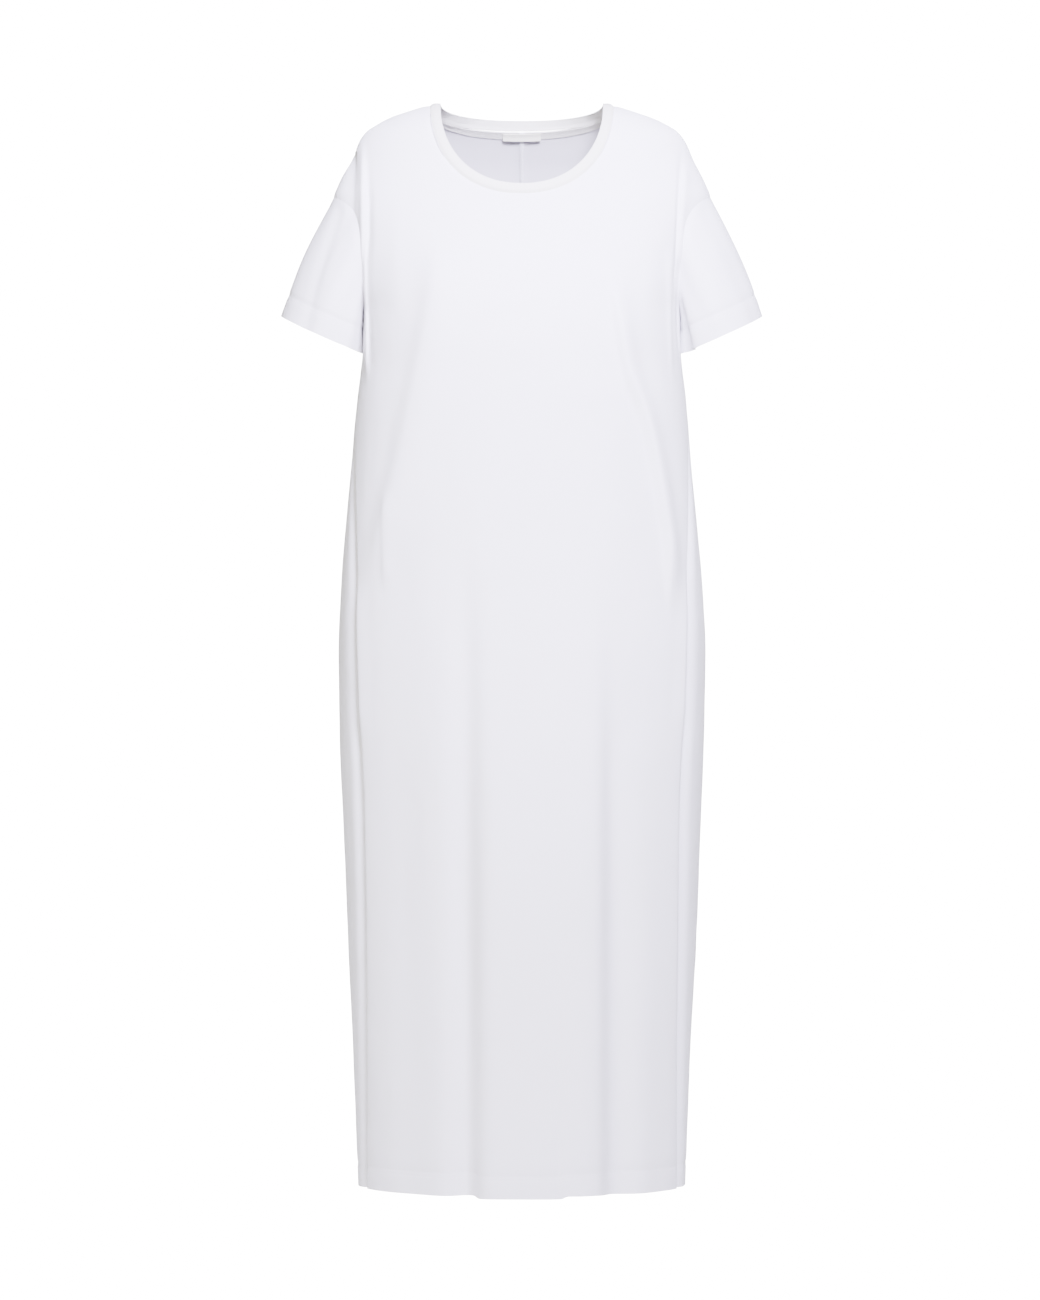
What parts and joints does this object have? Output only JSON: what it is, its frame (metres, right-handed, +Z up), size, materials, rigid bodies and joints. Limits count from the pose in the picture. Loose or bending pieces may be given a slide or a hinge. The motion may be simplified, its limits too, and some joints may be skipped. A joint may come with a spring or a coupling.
{
  "type": "midi dress",
  "caption": "Hollow worn midi dress: straight cocoon body with side-seam pocket mouths, dropped shoulders, short sleeves and a round ribbed neck",
  "frame": {"origin": "midway between the two points where the neck seam meets the shoulder seams, at the height where the wearer's shoulders hold the dress", "axes": "+Z up, the front faces -Y, +X is the wearer's left and the right of the picture"},
  "size_m": [0.5378, 0.2774, 1.2085],
  "materials": {
    "jersey": "matte white cotton jersey",
    "neck_rib": "matte ecru rib knit",
    "neck_tape": "matte ivory herringbone tape",
    "label": "smooth ivory woven label, bare"
  },
  "bodies": {
    "root": {"front": "jersey", "back_left": "jersey", "back_right": "jersey", "sleeve_left": "jersey", "sleeve_right": "jersey", "neckband": "neck_rib", "neck_tape": "neck_tape", "neck_label": "label"}
  },
  "joints": []
}
